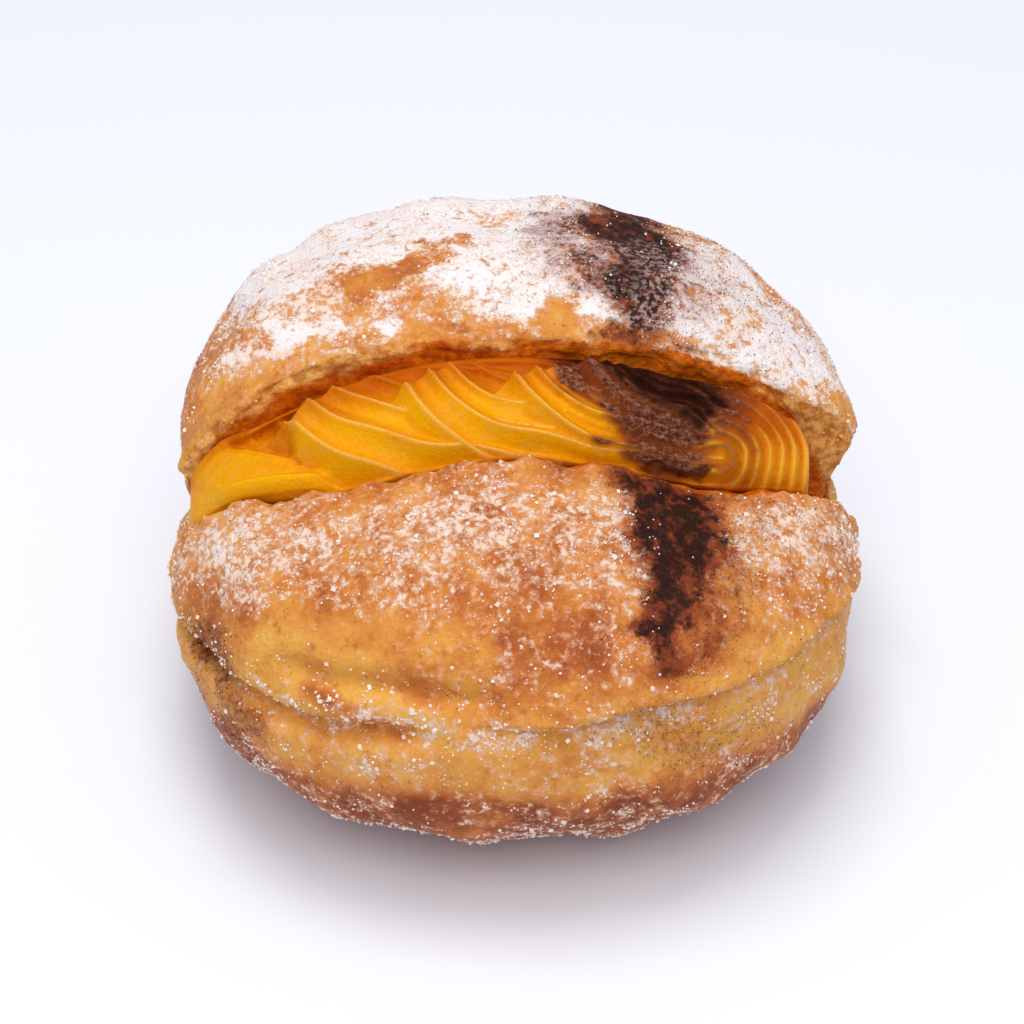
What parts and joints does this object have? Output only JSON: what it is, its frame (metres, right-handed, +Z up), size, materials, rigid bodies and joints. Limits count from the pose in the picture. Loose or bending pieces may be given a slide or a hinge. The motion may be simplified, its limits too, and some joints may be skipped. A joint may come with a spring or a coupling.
{
  "type": "filled doughnut",
  "caption": "Round fried doughnut slit across its crown and opened, piped full of yellow custard, dusted with sugar and cinnamon.",
  "frame": {"origin": "on the floor, under the middle of the doughnut's box", "axes": "+X along the slit, -Y towards the front jaw, +Y towards the lid, +Z up"},
  "size_m": [0.1002, 0.1014, 0.069],
  "materials": {
    "dough": "fried, browned crust under fine and coarse sugar, with a stripe of cinnamon",
    "custard": "soft satin gloss"
  },
  "bodies": {
    "root": {"dough": "dough", "custard": "custard"}
  },
  "joints": []
}
